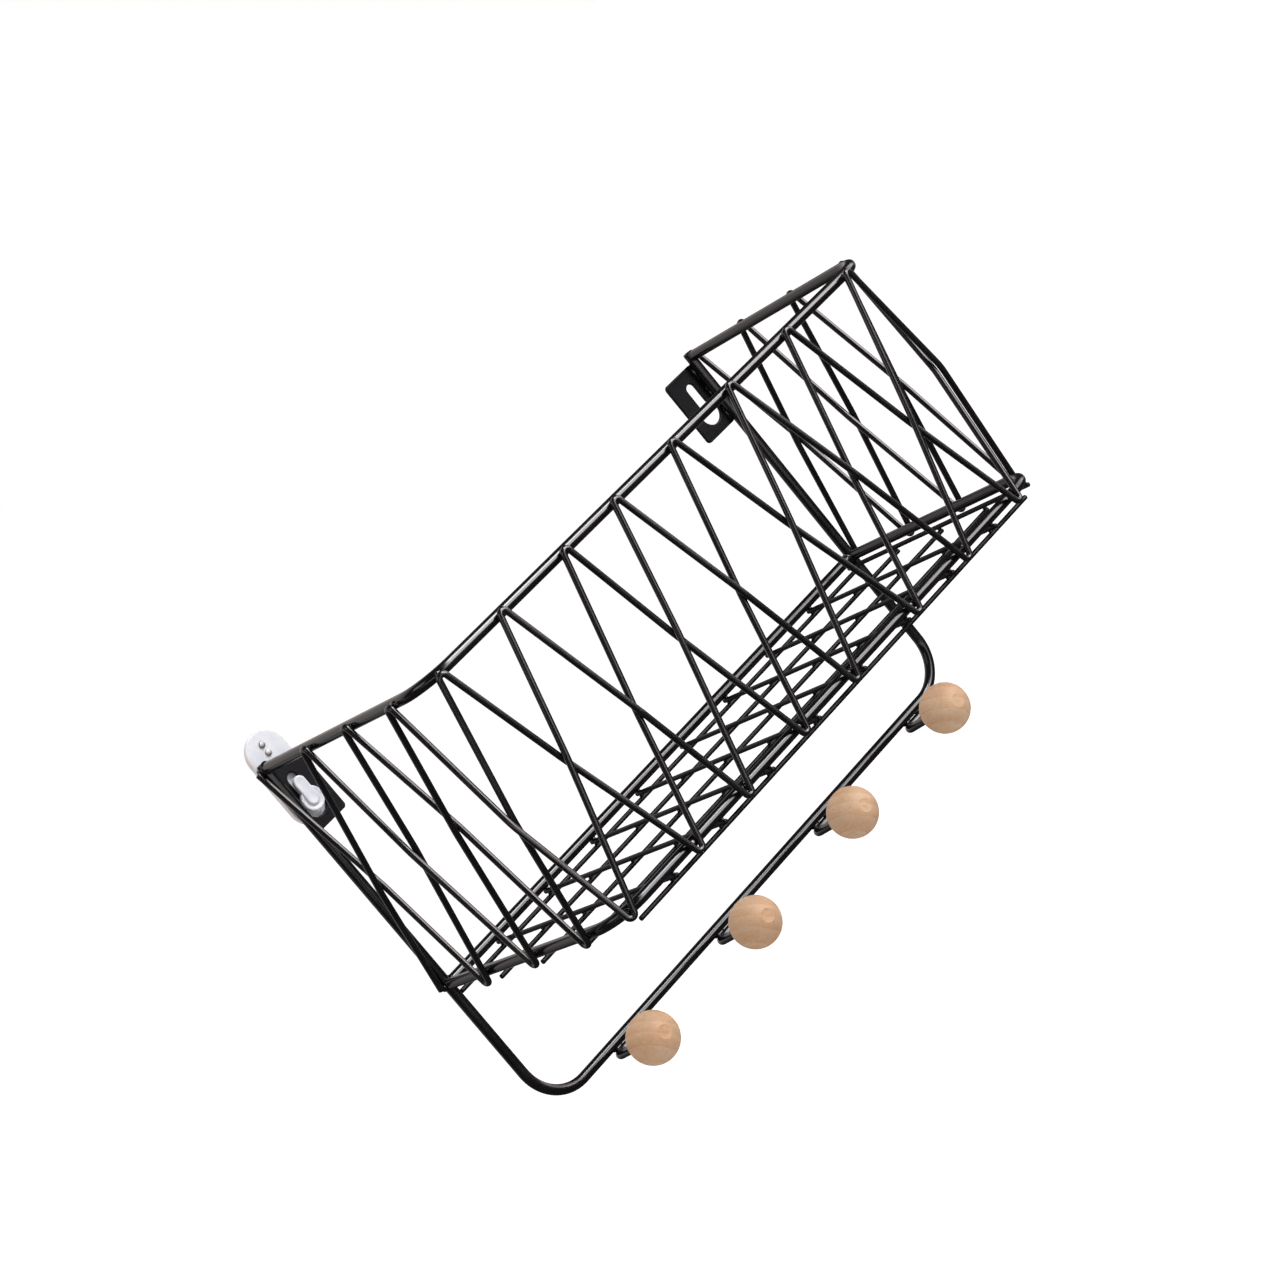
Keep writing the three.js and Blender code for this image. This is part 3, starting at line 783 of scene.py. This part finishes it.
# Rods
leg_top = TOP_Z + ROD_RADIUS
legs_and_rail = [
    (-LEG_X, LEG_Y, leg_top),
    (-LEG_X, LEG_Y, RAIL_Z, RAIL_CORNER_RADIUS),
    (LEG_X, LEG_Y, RAIL_Z, RAIL_CORNER_RADIUS),
    (LEG_X, LEG_Y, leg_top),
]
foot_bar = [(-INNER_X, LEG_Y, FOOT_Z), (INNER_X, LEG_Y, FOOT_Z)]
for node, corners, paint in [
    ("back_frame", legs_and_rail, dull_enamel),
    ("top_rim", rim_corners(TOP_Z), enamel),
    ("bottom_rim", rim_corners(FOOT_Z), dull_enamel),
    ("bottom_back_bar", foot_bar, dull_enamel),
]:
    painted(node, "rod", wire(corners, ROD_RADIUS, sides=32, steps=28), paint)

# Lattice
for node, from_top, side in [("lattice_wire_a", True, -1), ("lattice_wire_b", False, 1)]:
    shape = wire(zigzag(from_top, side), LATTICE_RADIUS, chamfer=THIN_WIRE_CHAMFER)
    painted(node, "bent", shape, wire_enamel)

# Floor grid
for k, x in enumerate(CROSS_PLACES):
    front_end = FRONT_Y - ROD_RADIUS + drawn_in(LEG_X - abs(x))
    corners = [(x, LEG_Y + ROD_RADIUS, CROSS_Z), (x, front_end, CROSS_Z)]
    shape = wire(corners, FLOOR_RADIUS, sides=16, chamfer=THIN_WIRE_CHAMFER)
    painted(f"floor_cross_wire_{k + 1}", "round", shape, floor_enamel)
for k, y in enumerate(LONG_PLACES):
    side_end = INNER_X - drawn_in(y - FRONT_Y)
    corners = [(-side_end, y, LONG_Z), (side_end, y, LONG_Z)]
    shape = wire(corners, FLOOR_RADIUS, sides=16, chamfer=THIN_WIRE_CHAMFER)
    painted(f"floor_long_wire_{k + 1}", "round", shape, floor_enamel)

# Plates
for node, side in [("bracket_left", -1), ("bracket_right", 1)]:
    painted(node, "punched", keyhole_plate(side), plate_enamel)

# Hooks
forward = unit([0, -BALL_REACH, BALL_LIFT])
for k, x in enumerate(HOOK_PLACES):
    middle = np.array([x, LEG_Y - BALL_REACH, TAIL_Z + BALL_LIFT])
    wire_end = middle + forward * (BORE_DEPTH - WELD_GAP - BALL_RADIUS)
    corners = [(x + HOOK_TAIL, LEG_Y, TAIL_Z), (x, LEG_Y, TAIL_Z, HOOK_BEND_RADIUS), tuple(wire_end)]
    painted(f"hook_wire_{k + 1}", "bent", wire(corners, HOOK_RADIUS, sides=28), enamel)
    ball = lathe(ball_profile(), middle, forward)
    piece(f"hook_ball_{k + 1}_turned", ball, beech, "rack", [f"hook_ball_{k + 1}"])

# Welds
welds = joined([weld_bead(place, radii, seed) for seed, (place, radii) in enumerate(weld_places())])
piece("weld_beads", welds, enamel, "rack")

# Wall hook
piece("wall_hook_moulded", wall_hook(), plastic, "hook_on_wall", ["wall_hook"])
for k, z in enumerate(PIN_PLACES):
    piece(f"wall_pin_{k + 1}_domed", wall_pin(z), steel, "hook_on_wall", [f"wall_pin_{k + 1}"])


def backdrop(name, half, z):
    """Large pale floor, white to the camera, that still takes the object's shadow.

    Reflections see it dark round the object, pale well behind it, and bright and warm far in front of it
    except on the right.
    """
    finish = Finish(name)
    camera, glossy, through = finish.seen_by()
    place = finish.place()
    across, along = finish.component(place, "X"), finish.component(place, "Y")
    behind = along.between(0.5, 1.5)
    ahead = along.between(-2.2, -4.5) * across.between(2.5, 1.2)
    seen = camera + through + glossy * (behind * 0.7 + ahead * 6 + 0.04)
    tint = finish.mix(WHITE, WARM, ahead * glossy)
    glow = finish.node("ShaderNodeEmission", None, {"Color": tint, "Strength": seen * FLOOR_GLOW})
    colour = finish.mix((0.82, 0.82, 0.82), (0.05, 0.05, 0.05), glossy)
    finish.shade(Base_Color=colour, Roughness=0.9, Specular_IOR_Level=0.0)
    surface = Signal(finish, finish.shader.outputs[0])
    both = finish.node("ShaderNodeAddShader", None, {0: surface, 1: glow})
    finish.feed(finish.tree.nodes["Material Output"].inputs["Surface"], both)
    mesh = bpy.data.meshes.new(name)
    corners = [(-half, -half, z), (half, -half, z), (half, half, z), (-half, half, z)]
    mesh.from_pydata(corners, [], [(0, 1, 2, 3)])
    mesh.materials.append(finish.material)
    made = bpy.data.objects.new(name, mesh)
    bpy.context.scene.collection.objects.link(made)


def sky(level):
    """Even light, a little warm, and seen white by the camera.

    Reflections see a warm white wall behind and a dark room in front, with a bright soft box up to the
    right, two warm strips under it and beside it, and a warm wash to its left. Each patch is a smooth step
    of the dot product of the way and the patch's middle.
    """
    world = bpy.data.worlds.new("studio")
    world.use_nodes = True
    bpy.context.scene.world = world
    studio = Nodes(world.node_tree)
    camera, glossy, through = studio.seen_by()
    wall = studio.toward((-0.15, 0.9, 0.35)).between(0.66, 0.85)
    soft_box = studio.toward((0.55, -0.72, 0.43)).between(0.915, 0.96)
    under = studio.toward((0.45, -0.88, -0.1)).between(0.85, 0.96)
    beside = studio.toward((0.9, -0.35, 0.15)).between(0.78, 0.93)
    wash = studio.toward((0.3, -0.92, 0.25)).between(0.955, 0.985)
    strips = under + beside
    reflected = wall + soft_box * 9 + strips * 4 + wash * 4.5 + 0.03
    strength = level + (camera + through) * (1 - level) + glossy * (reflected - level)
    warmth = (strips + wall + wash) * glossy + (1 - camera - through - glossy) * 0.7
    background = studio.tree.nodes["Background"]
    studio.feed(background.inputs["Color"], studio.mix(WHITE, WARM, warmth))
    studio.feed(background.inputs["Strength"], strength)


def stood(made, place, axes):
    """Links an object that stands at a place, its own X, Y and Z along the three axes."""
    turn = Matrix(np.array(axes, float).tolist()).transposed().to_4x4()
    made.matrix_world = Matrix.Translation(place) @ turn
    bpy.context.scene.collection.objects.link(made)


def lamp(name, direction, distance, size, watts, colour=WHITE):
    """Soft square lamp in a direction from the object, facing it."""
    light = bpy.data.lights.new(name, "AREA")
    light.size = size
    light.energy = watts
    light.color = colour
    away = unit(direction)
    level = unit(np.cross([0, 0, 1], away))
    place = (away * distance + OBJECT_MIDDLE).tolist()
    stood(bpy.data.objects.new(name, light), place, [level, np.cross(away, level), away])


backdrop("floor", FLOOR_REACH, FLOOR_HEIGHT)
sky(level=0.5)
lamp("key_lamp", (0.40, -0.55, 0.73), distance=1.7, size=0.6, watts=24, colour=COOL)
lamp("side_lamp", (-0.85, -0.2, 0.6), distance=1.9, size=0.9, watts=6)

# Camera of the photograph
camera = bpy.data.cameras.new("camera")
camera.lens = 106.1
camera.sensor_width = 36
right = (0.5844, -0.51496, -0.62714)
up = (0.59728, -0.25019, 0.76201)
back = (-0.54931, -0.81989, 0.16136)
eye_place = (-0.71575, -1.11061, 0.17014)
eye = bpy.data.objects.new("camera", camera)
stood(eye, eye_place, [right, up, back])
bpy.context.scene.camera = eye
bpy.context.scene.view_settings.view_transform = "Standard"
